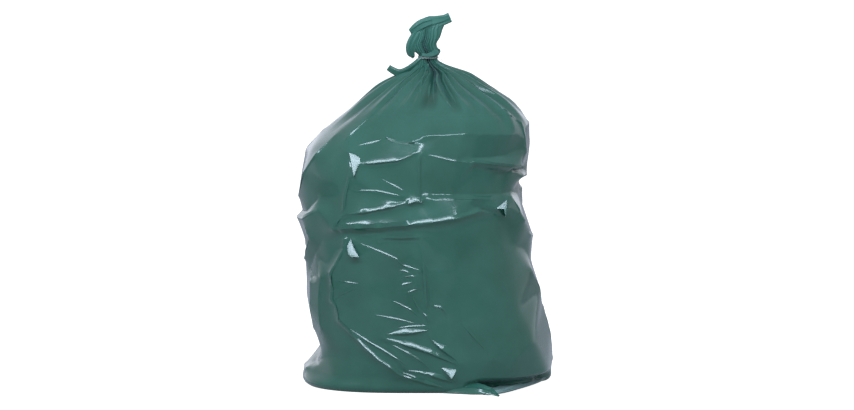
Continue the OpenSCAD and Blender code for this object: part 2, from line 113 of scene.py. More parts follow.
# Creases on the front. Each has the width of the small fold that stands on it (0 for none), how far
# the film falls off beside it, the gap within which it does, and its points: x, height and how far
# the film stands out there (or in). The film falls off to the right of someone who walks along the
# points where the gap is more than zero, and to the left where it is less.
FRONT_CREASES = [
    # the lengthwise fold left of the middle
    (1, 2, 10, (-105, 545, 3), (-155, 495, 6), (-154, 472, 5)),
    (1, 6, 9, (-150, 424, 7), (-158, 392, 7), (-162, 352, 7)),
    # the lengthwise fold in the middle
    (1, 5, -6, (-18, 458, 3), (-15, 384, 4)),
    (1, 5, -6, (-8, 254, 3), (-4, 208, 4), (-2, 168, 4)),
    # the upper left panel, with an L-shaped facet that catches the light
    (1, 0, 0, (-146, 480, 1), (-80, 498, 3)),
    (2.5, 0, 0, (-80, 498, 3), (-60, 492, 3), (-12, 489, 2)),
    (1.5, 5, 8, (-153, 469, 4), (-143, 424, 8)),
    (0, 0, 0, (-143, 424, 8), (-134, 447, 9), (-119, 450, 8)),
    (5, 4, 8, (-136, 448, 8), (-58, 456, 8), (-24, 470, 5)),
    (1, 0, 0, (-95, 424, 1), (-38, 394, 3)),
    (1, 2, 10, (-147, 398, 2), (-102, 398, 3), (-40, 386, 4)),
    (3, 5, 9, (-160, 350, 7), (-100, 361, 7), (-36, 377, 8)),
    (7, 7, 7, (-40, 377, 8), (-24, 379, 9), (-12, 379, 7)),
    (3, 5, 7, (-181, 321, 8), (-161, 349, 8)),
    # the long fold across the belly
    (5, 12, 11, (-181, 320, 8), (-165, 321, 9), (-155, 326, 10), (-87, 330, 11), (2, 338, 11),
     (52, 345, 10), (100, 357, 6)),
    (2, 5, 6, (-90, 307, 3), (-14, 308, 3)),
    # the lobe at the lower left, with a bright facet at its upper corner
    (0, 0, 0, (-153, 303, 3), (-157, 292, 5), (-153, 274, 8)),
    (0, 0, 0, (-153, 303, 3), (-144, 285, 6), (-134, 270, 8)),
    (1.3, 0, 0, (-144, 301, 5), (-58, 266, 5), (-53, 255, 4), (-14, 244, 4), (-6, 230, 3)),
    (1.5, 8, 10, (-161, 302, 6), (-161, 283, 7), (-174, 259, 7), (-187, 233, 8), (-183, 200, 8),
     (-185, 179, 8), (-177, 171, 7), (-171, 142, 8)),
    (2, 8, 10, (-171, 142, 8), (-118, 90, 8), (-97, 70, 7), (-54, 38, 6), (42, 10, 3)),
    (1.5, 4, 8, (-160, 133, 5), (-110, 101, 5), (-32, 49, 3)),
    (1, 0, 0, (-183, 220, 7), (-127, 216, 3)),
    (1, 0, 0, (-183, 181, 7), (-127, 214, 3)),
    # the fan of short folds beside the middle
    (2, 0, 0, (-66, 131, 2), (6, 138, 3)),
    (5, 2, 7, (-84, 118, 3), (4, 128, 4)),
    (7, 3, 8, (-86, 112, 4), (-40, 98, 5), (2, 84, 6), (54, 60, 5)),
    (8, 3, 7, (5, 112, 5), (14, 100, 6), (30, 88, 6), (60, 62, 5)),
    # fine wrinkles that run out from the fan, and the pinched film above it
    (1.5, 0, 0, (-6, 142, 3), (-34, 168, 3), (-78, 190, 2)),
    (1.2, 0, 0, (-12, 154, 3), (-36, 204, 2)),
    (1.5, 0, 0, (-14, 138, 3), (-64, 150, 3), (-112, 158, 2)),
    (1.2, 0, 0, (-58, 246, 2), (-32, 239, 3)),
    (1, 0, 0, (-50, 231, 2), (-20, 234, 3)),
    (1.2, 0, 0, (-55, 214, 2), (-28, 222, 3)),
    (1, 0, 0, (-44, 199, 2), (-16, 210, 3)),
    (2, 2, 8, (-80, 104, 3), (-45, 86, 4), (-15, 67, 3), (8, 46, 3)),
    (4, 2, 6, (-44, 49, 3), (4, 40, 4), (29, 32, 4), (56, 22, 2)),
    (2, 2, 5, (-56, 46, 3), (-5, 25, 3)),
    (0, 0, 0, (26, 54, 3), (55, 50, 3), (46, 32, 7), (26, 54, 3)),
    (2, 0, 0, (-12, 165, 4), (0, 150, 5), (-1, 134, 5)),
    # the smoother right half
    (0, 0, 0, (-6, 503, 6), (70, 507, 8), (160, 500, 6)),
    (1, 0, 0, (-10, 470, 1), (22, 461, 1), (88, 446, 0)),
    (0, 0, 0, (90, 458, -7), (156, 460, -10)),
    (1.5, 9, 9, (89, 452, 3), (135, 444, 6), (180, 433, 9)),
    (0, 0, 0, (94, 440, -6), (150, 428, -10), (186, 428, -5)),
    (0, 0, 0, (9, 391, -4), (120, 387, -6), (166, 386, -4)),
    (1, 0, 0, (9, 382, 2), (120, 379, 3)),
    (2, 0, 0, (96, 364, -3), (142, 346, -5)),
    (0, 0, 0, (133, 360, 5), (152, 376, 3), (150, 358, 6), (133, 360, 5)),
    (2, 5, -10, (160, 380, 5), (187, 331, 6)),
    (2, 0, 0, (112, 291, -5), (178, 281, -7)),
    (2, 2, 7, (4, 177, 2), (26, 172, 3), (40, 150, 2)),
    (2, 0, 0, (60, 146, 1), (124, 68, 3)),
    (2, 0, 0, (162, 48, -4), (176, 68, -2)),
    # the right shoulder
    (0, 0, 0, (70, 603, 3), (109, 556, 3), (139, 531, 3), (166, 518, 3)),
    (6, 2, 7, (92, 600, 3), (114, 588, 5), (138, 574, 4)),
    (2, 2, 7, (135, 557, 3), (168, 536, 3)),
    # the flat facets at the left edge
    (2, 0, 0, (-209, 298, -6), (-236, 236, -5), (-230, 216, -3)),
    (2, 0, 0, (-208, 222, 5), (-206, 120, 6), (-214, 86, 2)),
]

# Creases elsewhere: the same, but each point is given by its run round the film and its height.
ROUND_CREASES = [
    # the left side
    (2, 0, 0, (-232, 498, 5), (-240, 460, 6), (-318, 372, 6)),
    (3, 0, 0, (-212, 376, -3), (-262, 346, -6), (-350, 342, -7)),
    (2, 0, 0, (-206, 354, 4), (-262, 332, 6), (-352, 328, 7)),
    (2, 7, 10, (-256, 312, 4), (-246, 293, 5), (-298, 250, 8)),
    (0, 0, 0, (-302, 276, 2), (-372, 278, -14)),
    (2, 0, 0, (-262, 209, 4), (-258, 160, 6), (-276, 114, 4)),
    (3, 0, 0, (-300, 44, -5), (-256, 42, -4)),
    (3, 0, 0, (-360, 76, -9), (-280, 66, -5)),
    (2, 0, 0, (-352, 28, 5), (-296, 30, 4)),
    (2, 5, 12, (-360, 500, 4), (-420, 420, 7), (-500, 360, 3)),
    (2, 6, 12, (-390, 320, 6), (-480, 250, 4)),
    (2, 4, 10, (-400, 190, 5), (-470, 110, 4)),
    # the right side
    (2, 0, 0, (210, 540, 2), (262, 520, 4), (280, 462, 4)),
    (2, 0, 0, (330, 518, 1), (338, 440, 2), (352, 413, 9)),
    (0, 18, 9, (286, 414, 9), (360, 411, 11), (440, 424, 3)),
    (3, 0, 0, (300, 366, -7), (380, 362, -8)),
    (2, 0, 0, (300, 296, 5), (372, 286, 8)),
    (3, 0, 0, (282, 250, -3), (360, 240, -6)),
    (2, 4, -10, (268, 230, 4), (300, 188, 6), (322, 154, 3)),
    (2, 0, 0, (330, 150, 5), (352, 40, 6)),
    (2, 6, 12, (400, 380, 6), (470, 300, 5)),
    (2, 0, 0, (392, 250, -5), (480, 220, 3)),
    (2, 5, 12, (380, 180, 6), (450, 90, 5)),
    # the back
    (3, 5, 12, (-690, 480, 4), (-600, 505, 6), (-520, 470, 4)),
    (2, 3, 10, (-525, 440, 4), (-525, 330, 4)),
    (4, 9, 12, (-680, 420, 6), (-560, 400, 8), (-440, 372, 4)),
    (4, 7, 12, (-690, 330, 5), (-590, 352, 7), (-500, 318, 4)),
    (3, 6, 12, (-640, 280, 6), (-560, 200, 6), (-470, 150, 3)),
    (3, 5, 12, (-690, 190, 5), (-620, 120, 5), (-520, 70, 3)),
    (3, 0, 0, (-500, 60, -4), (-440, 44, -3)),
    (3, 5, 12, (470, 470, 4), (560, 500, 6), (660, 470, 4)),
    (4, 10, 12, (480, 400, 6), (590, 420, 8), (690, 396, 5)),
    (2, 3, 10, (525, 380, 3), (525, 260, 4)),
    (3, 7, 12, (500, 330, 5), (610, 300, 7), (690, 318, 4)),
    (3, 0, 0, (480, 230, -3), (590, 250, -5)),
    (3, 6, 12, (560, 200, 6), (650, 120, 5), (690, 60, 3)),
    (3, 0, 0, (440, 70, -4), (540, 50, -4)),
    (2, 2, 8, (700, 500, 3), (700, 440, 3)),
    (2, 2, 8, (700, 280, 3), (700, 130, 3)),
]

# Sharp ridges beside the front pleats: their width, and each one's points as x and height.
RIDGE_W = 1.2
PLEAT_RIDGES = [
    [(-3, 640), (-12, 616), (-19, 574), (-22, 548)],
    [(7, 635), (18, 604), (30, 576), (60, 543)],
    [(14, 632), (30, 606), (47, 576), (70, 545)],
    [(24, 630), (54, 604), (82, 580), (112, 548)],
    [(-12, 634), (-28, 612), (-40, 580), (-50, 550)],
    [(-16, 634), (-46, 606), (-76, 574), (-104, 540)],
    [(4, 622), (10, 596), (12, 566), (10, 544)],
    [(2, 606), (1, 584), (-4, 558)],
]

# Folds of gathered film. Each station is a point on the fold's middle line, its width, its
# thickness and how far it is turned about that line, in degrees.
LEFT_LOBE = [
    ((-16, -9, 700), 18, 12, 0), ((-27, -10, 682), 22, 15, 0), ((-33, -10, 668), 22, 16, 0),
    ((-34, -9, 656), 18, 14, 0), ((-31, -8, 649), 11, 10, 0), ((-29.5, -7, 645), 5, 5, 0),
]
LEFT_CORNER = [
    ((6, -12, 717), 16, 10, 0), ((-10, -14, 713), 21, 11, 5), ((-24, -13, 705), 18, 9, 8),
    ((-36, -10, 697.5), 9, 4, 8),
]
SQUARED_END = [
    ((-6, -6, 706), 30, 16, 0), ((10, -7, 714), 27, 13, 0), ((24, -6, 718), 23, 10, -5),
    ((34, -5, 721), 20.5, 7, -8), ((44, -4, 725.3), 20.5, 5, -10),
]
WRAPPED_FOLD = [
    ((-12, -16, 651), 7, 4, 0), ((-3, -19, 650), 9, 5, 0), ((7, -19, 652), 12, 6, 0),
    ((14, -15, 655), 15, 7, 0), ((17, -7, 658), 17, 7, 0), ((16, 8, 657), 15, 7, 0),
    ((8, 16, 653), 10, 5, 0),
]
MOUTH_CORNER = [
    ((-4, -10, 650), 12, 8, 0), ((-14, -13, 641), 14, 7, 5), ((-28, -14, 628), 17, 6, 10),
    ((-44, -12, 618), 17, 5, 10), ((-58, -10, 615), 16, 4, 5), ((-70, -9, 620), 14, 3.4, 0),
    ((-79, -8, 626), 12.5, 3, -5),
]
SEAM_LIP = [
    ((14, -184, 4), 8, 5, 60), ((50, -188, 9), 26, 12, 60), ((88, -192, 11), 36, 16, 60),
    ((118, -206, 7.5), 26, 10, 66), ((137, -226, 1.8), 6, 3, 80),
]
SEAM_UNDER = [
    ((108, -208, 4.5), 36, 8, 90), ((126, -188, 5), 54, 9, 90), ((160, -130, 5.5), 62, 10, 90),
    ((196, -70, 6), 58, 10, 90), ((220, -30, 7), 42, 11, 90),
]

# Flat facets that catch the light, each as its corners on the front: x and height.
FACETS = [
    [(-153, 469), (-142, 466), (-132, 460), (-131, 450), (-134, 447), (-139, 437), (-144, 425),
     (-148, 447)],
    [(-150, 303), (-145, 290), (-139, 279), (-134, 271), (-149, 270), (-155, 276), (-157, 290)],
    [(153, 375), (133, 360), (149, 358), (151, 343), (154, 356)],
    [(26, 54), (40, 53), (55, 50), (52, 43), (46, 33), (36, 44)],
    [(-82, 500), (-68, 497), (-44, 493), (-26, 491), (-44, 489), (-62, 488), (-72, 492)],
    [(-36, 383), (-26, 381), (-12, 383), (-12, 376), (-26, 377), (-38, 375)],
]

# The thread's loose ends: length and how far the tip droops, as a share of the length.
LEFT_END, RIGHT_END = (44, 0.08), (22, 0.45)

# Painted tints of the film: lighter above the tie, for light shining through it, and darker for the shade
# in the pleats' hollows.
TUFT_PAINTED_LIGHT_TINT, PLEAT_SHADE_TINT = "3E7366", "123A2E"

# Lamps: name, place, size, power in watts and whether the film mirrors it.
LAMPS = [
    ("key", (-0.5, -2.3, 2.4), (4.4, 0.32), 90, True),
    ("top", (0.0, -0.6, 2.6), (1.6, 1.6), 13, False),
]
# The middle of the key lamp, its long side and the way that side runs.
KEY_PLACE, KEY_LONG = np.array(LAMPS[0][1]), LAMPS[0][2][0]
KEY_ALONG = np.array((2.3, -0.5, 0)) / math.hypot(2.3, 0.5)
# The small folds are turned so that someone standing here sees the key lamp in them.
EYE_PLACE = np.array((0, -6, 1))
LIT_BEND = math.radians(4)


def ease(start, end, value):
    """0 before start, 1 after end, and smooth between them."""
    t = np.clip((value - start) / (end - start), 0, 1)
    return t * t * (3 - 2 * t)


def section_at(z, column):
    """A section's value at any height, on a smooth curve that never overshoots the table."""
    knots, values = SECTIONS[:, 0], SECTIONS[:, column]
    rate = np.diff(values) / np.diff(knots)
    slope = np.zeros(len(values))
    product = rate[:-1] * rate[1:]
    total = np.where(product > 0, rate[:-1] + rate[1:], 1)
    slope[1:-1] = np.where(product > 0, 2 * product / total, 0)
    i = np.clip(np.searchsorted(knots, z, side="right") - 1, 0, len(knots) - 2)
    h = knots[i + 1] - knots[i]
    t = np.clip((z - knots[i]) / h, 0, 1)
    return (
        (2 * t**3 - 3 * t**2 + 1) * values[i]
        + (t**3 - 2 * t**2 + t) * h * slope[i]
        + (3 * t**2 - 2 * t**3) * values[i + 1]
        + (t**3 - t**2) * h * slope[i + 1]
    )


def way(a, b):
    """The shorter way round the film from one run to another."""
    d = a - b
    return d - FILM_ROUND * np.round(d / FILM_ROUND)


def outline(angle, z):
    """Distance of the plain film from its section's middle."""
    half_w, half_d, square = section_at(z, 2) / 2, section_at(z, 4) / 2, section_at(z, 5)
    return (
        (np.abs(np.cos(angle)) / half_w) ** square + (np.abs(np.sin(angle)) / half_d) ** square
    ) ** (-1 / square)


def front_run(x, z):
    """The run along the film of a point on the front, from its x and height."""
    half_w, half_d, square = (float(section_at(z, c)) / d for c, d in ((2, 2), (4, 2), (5, 1)))
    across = min(0.98, max(-0.98, (x - float(section_at(z, 1))) / half_w))
    y = -half_d * (1 - abs(across) ** square) ** (1 / square)
    return FILM_ROUND * math.atan2(across * half_w, -y) / (2 * math.pi)


def pleats_at(run, z):
    """Each pleat's depth, how far it has formed, and how far points lie from its middle."""
    for top, bottom, fade, share, reach in PLEATS:
        up = np.clip((z - fade) / (PLEATS_FULL_Z - fade), 0, 1)
        yield share, up, np.abs(way(run, bottom + (top - bottom) * up)) / (reach * (1.25 - 0.25 * up))


def pleated(run, z):
    """Share of the neck's radius that the deepest pleat takes away."""
    deepest = np.zeros_like(run)
    for share, up, gap in pleats_at(run, z):
        strength = share * (0.35 * up + 0.65 * up**2) * (1 - 0.7 * ease(TUFT_Z, TOP_Z, z))
        deepest = np.maximum(deepest, strength * np.maximum(0, 1 - gap))
    return deepest


def plain_point(run, z, lift=0.0):
    """Where the uncreased film lies, lifted off its surface."""
    angle = 2 * np.pi * run / FILM_ROUND - np.pi / 2
    inset = np.where(z < FOOT_R, FOOT_R - np.sqrt(np.maximum(0, FOOT_R**2 - (FOOT_R - z) ** 2)), 0)
    radius = outline(angle, z) + lift - inset
    x = section_at(z, 1) + radius * np.cos(angle)
    y = section_at(z, 3) + radius * np.sin(angle)
    return np.stack((x, y, z + 0 * x), axis=-1)


class FacetNet:
    """Flat facets between the ends of the creases: each crease is an edge between two of them."""

    TOP, BOTTOM = 660, -60

    def __init__(self, spacing, ruffle, seed):
        self.random = np.random.default_rng(seed)
        self.sites, self.lifts, self.edges, self.crests, self.pinched = [], [], [], [], []
        self.add_creases()
        self.add_crumple()
        self.plant_crests()
        self.add_fillers(spacing, ruffle)
        self.triangulate()

    def add_line(self, r0, z0, r1, z1, lift0, lift1):
        """A crease as a chain of sites, short enough to follow the body's round."""
        steps = max(1, math.ceil(math.hypot(way(r1, r0), z1 - z0) / 60))
        first = len(self.sites)
        for k in range(steps + 1):
            t = k / steps
            self.sites.append((r0 + way(r1, r0) * t, z0 + (z1 - z0) * t))
            self.lifts.append(lift0 + (lift1 - lift0) * t)
        self.edges += [(first + k, first + k + 1) for k in range(steps)]

    def add_creases(self):
        front = [(*c[:3], *[(front_run(x, z), z, lift) for x, z, lift in c[3:]]) for c in FRONT_CREASES]
        for crest, fall, gap, *points in front + ROUND_CREASES:
            self.add_crease(crest, fall, gap, points)

    def add_crease(self, crest, fall, gap, points):
        """A crease through its points, and the line at its foot where the film falls off."""
        if crest > 0 and sum(lift for _, _, lift in points) > 0:
            self.pinched.append((points, crest))
        for (r0, z0, lift0), (r1, z1, lift1) in zip(points, points[1:]):
            self.add_line(r0, z0, r1, z1, lift0, lift1)
            step = math.hypot(way(r1, r0), z1 - z0)
            if fall:
                beside = np.array((z1 - z0, -way(r1, r0))) * gap / step
                (ra, za), (rb, zb) = [
                    np.array((r0 + way(r1, r0) * t, z0 + (z1 - z0) * t)) + beside for t in (0.1, 0.9)
                ]
                self.add_line(ra, za, rb, zb, lift0 - fall, lift1 - fall)
            for t in np.arange(0, 1, 0.8 / step):
                self.crests.append((r0 + way(r1, r0) * t, z0 + (z1 - z0) * t))

    def add_crumple(self):
        """Short, level folds beside the middle crease, where the film was pinched."""
        for k in range(9):
            z = 206 + 7 * k
            start = self.random.uniform(-52, -38)
            rise = self.random.uniform(-4, 5)
            points = [(start, z - 3, 1), (-22, z + rise, 3.4), (-10, z, 1)]
            self.add_crease(0, 0, 0, [(front_run(x, h), h, lift) for x, h, lift in points])

    def add_fillers(self, spacing, ruffle):
        """Sites between the creases, scattered on a jittered lattice."""
        columns = round(FILM_ROUND / spacing)
        rows = round((self.TOP - self.BOTTOM) / spacing)
        for i in range(columns):
            for j in range(rows + 1):
                jitter = self.random.uniform(-0.36, 0.36, 2)
                lift = self.random.normal(0, ruffle)
                r = FILM_ROUND * ((i + 0.5 * (j % 2) + jitter[0]) / columns - 0.5)
                z = self.BOTTOM + spacing * (j + jitter[1])
                if self.nearest_crease([r], [z])[0][0] > 0.42 * spacing:
                    self.sites.append((r, z))
                    self.lifts.append(lift)

    def plant_crests(self):
        """Keeps the points along the creases for finding the nearest one."""
        crests = np.array(self.crests)
        copies = [crests + (shift, 0) for shift in (-FILM_ROUND, 0, FILM_ROUND)]
        crests = np.concatenate(copies)
        self.crests = crests[np.abs(crests[:, 0]) < FILM_ROUND / 2 + 60]
        self.tree_of_crests = KDTree(len(self.crests))
        for i, crest in enumerate(self.crests):
            self.tree_of_crests.insert((crest[0], crest[1], 0), i)
        self.tree_of_crests.balance()

    def nearest_crease(self, run, z):
        """How far each point of the film lies from the nearest crease, and its point there."""
        found = [self.tree_of_crests.find((r, h, 0)) for r, h in zip(run, z)]
        return np.array([f[2] for f in found]), self.crests[[f[1] for f in found]]

    def triangulate(self):
        """Joins the sites into triangles, with copies past the film's seam at the back."""
        sites, lifts, edges = list(self.sites), list(self.lifts), list(self.edges)
        margin = 160
        for shift in (-FILM_ROUND, FILM_ROUND):
            copied = {}
            for i, (r, z) in enumerate(self.sites):
                if abs(r + shift) < FILM_ROUND / 2 + margin:
                    copied[i] = len(sites)
                    sites.append((r + shift, z))
                    lifts.append(self.lifts[i])
            edges += [(copied[a], copied[b]) for a, b in self.edges if a in copied and b in copied]
        flat, _, faces, origins, _, _ = delaunay_2d_cdt([Vector(s) for s in sites], edges, [], 0, 1e-4)
        known = np.array(sites)
        lift = np.empty(len(flat))
        for i, (vertex, origin) in enumerate(zip(flat, origins)):
            if origin:
                lift[i] = max(lifts[k] for k in origin)
            else:
                near = np.argsort(np.hypot(known[:, 0] - vertex.x, known[:, 1] - vertex.y))[:3]
                lift[i] = np.mean([lifts[k] for k in near])
        flat = np.array([tuple(v) for v in flat])
        self.points = plain_point(flat[:, 0], np.clip(flat[:, 1], 0.01, TOP_Z), lift)
        self.points[:, 2] = flat[:, 1]
        self.flat, self.faces = flat, np.array([tuple(f) for f in faces])
        self.tree = BVHTree.FromPolygons([(x, z, 0) for x, z in flat], [tuple(f) for f in faces])

    def at(self, run, z):
        """The facets' positions at many runs and heights."""
        hits = [self.tree.find_nearest(Vector((r, h, 0)))[2] for r, h in zip(run, z)]
        corner = self.faces[np.array(hits)]
        a, b, c = (self.flat[corner[:, k]] for k in range(3))
        ab, ac, at = b - a, c - a, np.stack((run, z), axis=-1) - a
        whole = ab[:, 0] * ac[:, 1] - ac[:, 0] * ab[:, 1]
        wb = (at[:, 0] * ac[:, 1] - ac[:, 0] * at[:, 1]) / whole
        wc = (ab[:, 0] * at[:, 1] - at[:, 0] * ab[:, 1]) / whole
        weights = (1 - wb - wc, wb, wc)
        return sum(w[:, None] * self.points[corner[:, k]] for k, w in enumerate(weights))


def film_levels():
    """Rows from the middle of the base to inside the mouth: share of the radius, height."""
    def heights(start, end, count):
        return [(1.0, z) for z in np.linspace(start, end, count + 1)[1:]]

    base = [(share, 0.0) for share in np.linspace(0.06, 1, BASE_ROWS)]
    rounding = [(1.0, FOOT_R * (1 - math.cos(a))) for a in np.radians((22.5, 45, 67.5, 90))]
    body = heights(FOOT_R, CROWN_Z, BODY_ROWS)
    gather = heights(CROWN_Z, NECK_Z - NECK_H / 2, GATHER_ROWS)
    tuft = heights(NECK_Z - NECK_H / 2, TOP_Z, TUFT_ROWS)
    mouth = [(0.8, TOP_Z - 2), (0.5, TOP_Z - 10), (0.15, TOP_Z - 20)]
    return base + rounding + body + gather + tuft + mouth


def film_run(around, crowding):
    """Run of a column, closer together on the front, from its share of the way round."""
    return FILM_ROUND * (around - 0.5 + crowding * np.sin(2 * np.pi * around) / (2 * np.pi))


def blur(lattice, weight, times):
    """Evens out the film where the weight is 1 and leaves it where it is 0."""
    for _ in range(times):
        mean = (np.roll(lattice, 1, axis=1) + 2 * lattice + np.roll(lattice, -1, axis=1)) / 4
        mean[1:-1] = (mean[:-2] + 2 * mean[1:-1] + mean[2:]) / 4
        lattice += weight[..., None] * (mean - lattice)


def foot_tuck(run, z):
    """How far the film is folded in under the sack's right front edge."""
    along = ease(70, 130, run) * (1 - ease(270, 330, run))
    return 30 * along * (1 - ease(14, 30, z))


def film_lattice(net, settings):
    """The film's points in metres, in rows and columns, and which of them lie on a crease."""
    columns = settings.columns
    share, height = np.array(film_levels()).T
    run = film_run(np.arange(columns) / columns, settings.crowding)
    run, z = np.meshgrid(run, height)
    share = np.repeat(share[:, None], columns, axis=1)
    side = share > 0.999
    away, crest = np.full_like(z, 100.0), np.zeros((*z.shape, 2))
    away[side], crest[side] = net.nearest_crease(run[side], z[side])
    # Points close to a crease move onto it, so that it is an edge of the mesh.
    gap_r, gap_z = np.abs(run - crest[..., 0]), np.abs(z - crest[..., 1])
    near = gap_r / np.gradient(run, axis=1) + gap_z / np.maximum(0.1, np.gradient(z, axis=0))
    held = side & (near < 0.5) & (z > FOOT_R + 4) & (z < 600)
    run, z = np.where(held, crest[..., 0], run), np.where(held, crest[..., 1], z)
    away[held] = 0
    plain = plain_point(run, z)
    faceted = plain.copy()
    faceted[side] = net.at(run[side], z[side])
    blur(faceted, np.where(side, ease(2, 14, away), 0), settings.blur)
    gain = settings.facet_gain * ease(6, 34, z) * (1 - ease(580, 625, z))
    points = plain + gain[..., None] * (faceted - plain)
    whole = outline(2 * np.pi * run / FILM_ROUND - np.pi / 2, z)
    keep = (whole - foot_tuck(run, z)) / whole
    keep *= share * (1 - settings.pleat_depth * pleated(run, z))
    middle = np.stack((section_at(z, 1), section_at(z, 3)), axis=-1)
    points[..., :2] = middle + (points[..., :2] - middle) * keep[..., None]
    blur(points, np.where(side, 0.3 * ease(1, 6, away), 0), 1)
    return points * MM, held


def new_object(name, bm):
    """A mesh object made from a bmesh, at the origin, with smooth faces."""
    mesh = bpy.data.meshes.new(name)
    bm.to_mesh(mesh)
    bm.free()
    mesh.shade_smooth()
    obj = bpy.data.objects.new(name, mesh)
    bpy.context.scene.collection.objects.link(obj)
    return obj


def paint_pleat_shade(obj):
    """Marks where the pleats' hollows get painted shade, strongest along their middles and fading out at
    the tie.
    """
    count = len(obj.data.vertices)
    places = np.empty(count * 3)
    obj.data.vertices.foreach_get("co", places)
    x, y, z = places.reshape(-1, 3).T / MM
    angle = np.arctan2(y - section_at(z, 3), x - section_at(z, 1))
    run = FILM_ROUND * (angle + np.pi / 2) / (2 * np.pi)
    shade_share = np.zeros(count)
    for share, up, gap in pleats_at(run, z):
        shade_share = np.maximum(shade_share, share / 2 * ease(0, 0.35, up) * (1 - ease(0.3, 1, gap)))
    pleat_shade = obj.data.attributes.new("pleat_shade", "FLOAT", "POINT")
    pleat_shade.data.foreach_set("value", shade_share * (1 - ease(640, 660, z)))


def wrapped_object(name, lattices, creased=None, sharp=None):
    """Closed skins over rows of points that each run once round, split along their creases."""
    bm = bmesh.new()
    for lattice in lattices:
        rows, columns = lattice.shape[:2]
        verts = bmesh.ops.create_grid(bm, x_segments=columns, y_segments=rows - 1, size=0.5)["verts"]
        ends = []
        for v in verts:
            row = round((v.co.y + 0.5) * (rows - 1))
            column = round((v.co.x + 0.5) * columns) % columns
            v.co = lattice[row, column]
            if creased is not None and creased[row, column]:
                ends.append(v)
        bmesh.ops.connect_verts(bm, verts=ends)
        bmesh.ops.remove_doubles(bm, verts=verts, dist=1e-6)
    bmesh.ops.holes_fill(bm, edges=[e for e in bm.edges if e.is_boundary], sides=0)
    bmesh.ops.recalc_face_normals(bm, faces=bm.faces)
    obj = new_object(name, bm)
    if sharp:
        obj.data.set_sharp_from_angle(angle=math.radians(sharp))
    return obj


def smooth_route(stations, steps):
    """Values on a smooth curve through the stations."""
    stations = np.array(stations, dtype=float)
    padded = np.vstack((2 * stations[0] - stations[1], stations, 2 * stations[-1] - stations[-2]))
    found = []
    for t in np.linspace(0, len(stations) - 1, steps):
        k = min(int(t), len(stations) - 2)
        u = t - k
        a, b, c, d = padded[k:k + 4]
        found.append(0.5 * (2 * b + (c - a) * u + (2 * a - 5 * b + 4 * c - d) * u**2
                            + (3 * b - a - 3 * c + d) * u**3))
    return np.array(found)


def gathered_fold(stations, folds, seed, rows=48, flank=3):
    """Rows of points round a flat bundle of film, whose sharp folds run and drift along it."""
    random = np.random.default_rng(seed)
    route = smooth_route([(*point, width, thick, turn) for point, width, thick, turn in stations], rows)
    middle, width, thick, turn = route[:, :3], route[:, 3], route[:, 4], np.radians(route[:, 5])
    along = unit(np.gradient(middle, axis=0))
    face = unit(np.array((0, -1, 0)) + along * along[:, 1:2])
    across = np.cross(along, face)
    side = across * np.cos(turn)[:, None] + face * np.sin(turn)[:, None]
    out = face * np.cos(turn)[:, None] - across * np.sin(turn)[:, None]
    corners = 2 * folds
    step = np.linspace(0, 1, rows)[:, None]
    start = 2 * np.pi * (np.arange(corners) + random.uniform(-0.35, 0.35, corners)) / corners
    drift = np.repeat(random.uniform(-1.2, 1.2, folds), 2) * np.pi / corners
    angle = start + drift * step
    depth = np.where(np.arange(corners) % 2, random.uniform(0.12, 0.42, corners), 0)
    wave = np.sin(np.pi * (step + random.uniform(-0.3, 0.3, corners)))
    radius = 1 - depth * (0.55 + 0.45 * wave)
    flat, proud = np.cos(angle), np.sin(angle)
    flat = radius ** 0.5 * np.sign(flat) * np.abs(flat) ** 0.8
    proud = radius * np.sign(proud) * np.abs(proud) ** 0.8
    # The film between two folds is flat.
    t = np.arange(flank) / flank
    flat, proud = (
        (c[:, :, None] * (1 - t) + np.roll(c, -1, axis=1)[:, :, None] * t).reshape(rows, -1, 1)
        for c in (flat, proud)
    )
    wide, deep = (width / 2)[:, None, None], (thick / 2)[:, None, None]
    return (middle[:, None, :] + side[:, None, :] * wide * flat + out[:, None, :] * deep * proud) * MM


def unit(vectors):
    """The same directions, each one unit long."""
    return vectors / np.linalg.norm(vectors, axis=-1, keepdims=True)


def evened(values, times):
    """A list of points or directions, each moved towards its neighbours."""
    for _ in range(times):
        values[1:-1] = (values[:-2] + 2 * values[1:-1] + values[2:]) / 4
    return values


def facing(place, normal, along):
    """The ways that film must face to show the key lamp from the front, or else a little upwards."""
    # Of nine points along the lamp, each place takes the one that turns its film least.
    keys = KEY_PLACE + np.linspace(-0.44, 0.44, 9)[:, None] * KEY_LONG * KEY_ALONG
    half = unit(unit(keys - place[:, None]) + unit(EYE_PLACE - place)[:, None])
    match = np.sum(half * normal[:, None], axis=2) - 3 * np.abs(np.sum(half * along[:, None], axis=2))
    half = half[np.arange(len(place)), np.argmax(match, axis=1)]
    turned_away = np.sum(half * normal, axis=1) < 0.6
    return np.where(turned_away[:, None], unit(normal + np.array((0, 0, 0.4))), half)


